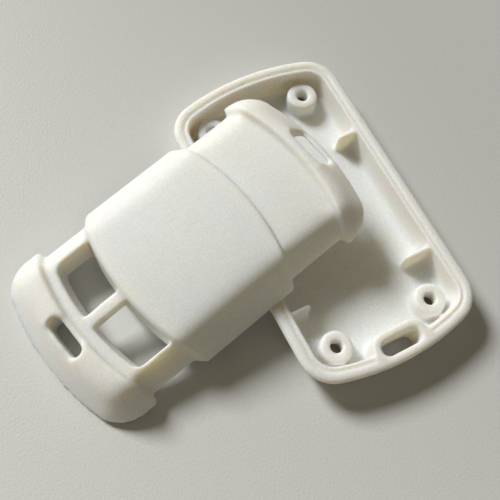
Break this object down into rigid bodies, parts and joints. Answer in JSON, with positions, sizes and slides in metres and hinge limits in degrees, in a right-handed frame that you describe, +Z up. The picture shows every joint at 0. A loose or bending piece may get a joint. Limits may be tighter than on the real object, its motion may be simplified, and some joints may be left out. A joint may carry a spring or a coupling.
{
  "type": "plastic housing",
  "caption": "Two moulded shells of a small tag housing: a tray with screw bosses and strap slot, and a domed cover with a raised band and windows",
  "frame": {"origin": "centre of the lower shell's plan, on the table under it", "axes": "X across the lower shell with the upper shell lying towards -X, Y along the lower shell with its strap slot at -Y, Z up"},
  "size_m": [0.076, 0.0644, 0.0161],
  "materials": {
    "moulded_abs": "fine matt texture"
  },
  "bodies": {
    "root": {"lower_shell": "moulded_abs", "upper_shell": "moulded_abs"}
  },
  "joints": []
}
